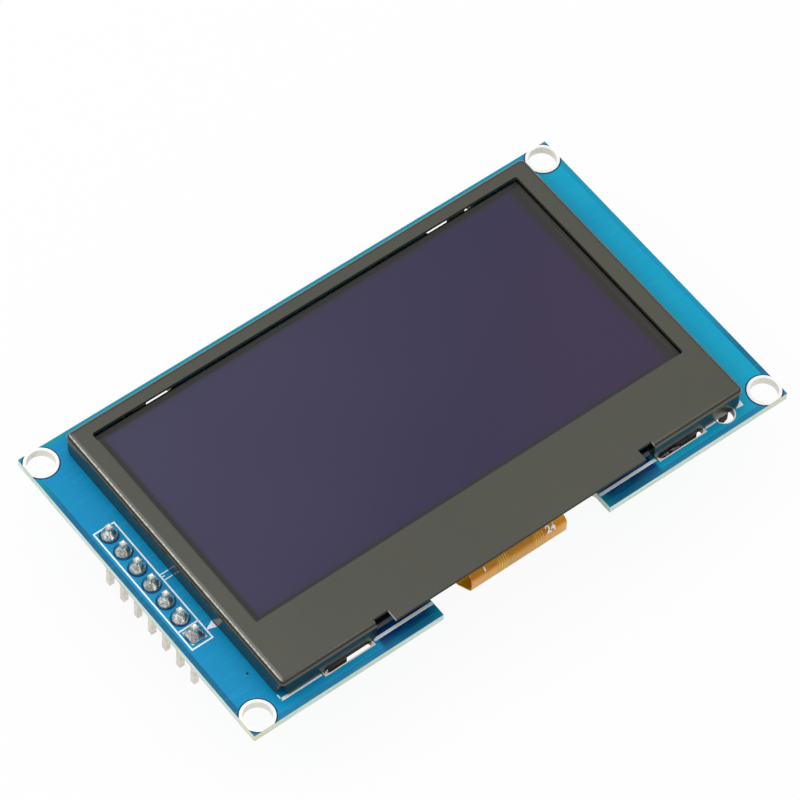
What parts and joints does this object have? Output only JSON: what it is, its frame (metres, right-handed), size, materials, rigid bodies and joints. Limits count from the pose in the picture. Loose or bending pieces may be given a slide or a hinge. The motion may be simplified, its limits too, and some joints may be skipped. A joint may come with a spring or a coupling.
{
  "type": "graphic oled display module",
  "caption": "Flat rectangular display under a black stamped steel bezel, on a blue circuit board with corner mounting holes, a pin header at one end and a folded amber flex cable.",
  "frame": {"origin": "centre of the four mounting holes on the board's top face", "axes": "+Z out of the display's face, +X along the long side away from the pin header, +Y towards the long edge opposite the flex cable"},
  "size_m": [0.072, 0.0422, 0.0127],
  "materials": {
    "solder_mask": "blue solder mask over copper, satin gloss",
    "bezel_steel": "black-grey satin coated sheet steel",
    "panel_glass": "dark clear glass",
    "polarizer_film": "dark violet-grey film, satin gloss",
    "foam_tape": "white double-sided tape",
    "silicon": "polished dark silicon",
    "polyimide": "amber polyimide film with copper tracks",
    "solder": "bright tin solder",
    "plating": "tinned copper",
    "tin": "dull tin",
    "pin_metal": "tinned brass",
    "black_plastic": "matt moulded black",
    "ferrite": "matt grey-black ferrite",
    "capacitor_ceramic": "tan ceramic with tinned ends",
    "resistor_ceramic": "black film on white ceramic with tinned ends"
  },
  "bodies": {
    "root": {"board": "solder_mask", "bezel": "bezel_steel", "front_glass": "panel_glass", "rear_glass": "panel_glass", "polarizer": "polarizer_film", "panel_tape": "foam_tape", "driver_chip": "silicon", "flex_cable": "polyimide", "flex_joints": "solder", "header_housing": "black_plastic", "pin_pads": "plating", "slot_rims": "plating", "key_rim": "plating", "power_coil": "ferrite", "coil_terminals": "tin", "converter_chip": "black_plastic", "converter_leads": "tin", "regulator": "black_plastic", "regulator_leads": "tin", "diode": "black_plastic", "diode_leads": "tin", "mounting_ring_1": "plating", "mounting_ring_2": "plating", "mounting_ring_3": "plating", "mounting_ring_4": "plating", "header_pin_1": "pin_metal", "header_pin_2": "pin_metal", "header_pin_3": "pin_metal", "header_pin_4": "pin_metal", "header_pin_5": "pin_metal", "header_pin_6": "pin_metal", "header_pin_7": "pin_metal", "pin_solder_1": "solder", "pin_solder_2": "solder", "pin_solder_3": "solder", "pin_solder_4": "solder", "pin_solder_5": "solder", "pin_solder_6": "solder", "pin_solder_7": "solder", "capacitor_1": "capacitor_ceramic", "capacitor_2": "capacitor_ceramic", "capacitor_3": "capacitor_ceramic", "capacitor_4": "capacitor_ceramic", "capacitor_5": "capacitor_ceramic", "capacitor_6": "capacitor_ceramic", "resistor_1": "resistor_ceramic", "resistor_2": "resistor_ceramic", "resistor_3": "resistor_ceramic", "resistor_4": "resistor_ceramic", "resistor_5": "resistor_ceramic", "resistor_6": "resistor_ceramic", "resistor_7": "resistor_ceramic", "resistor_8": "resistor_ceramic"}
  },
  "joints": []
}
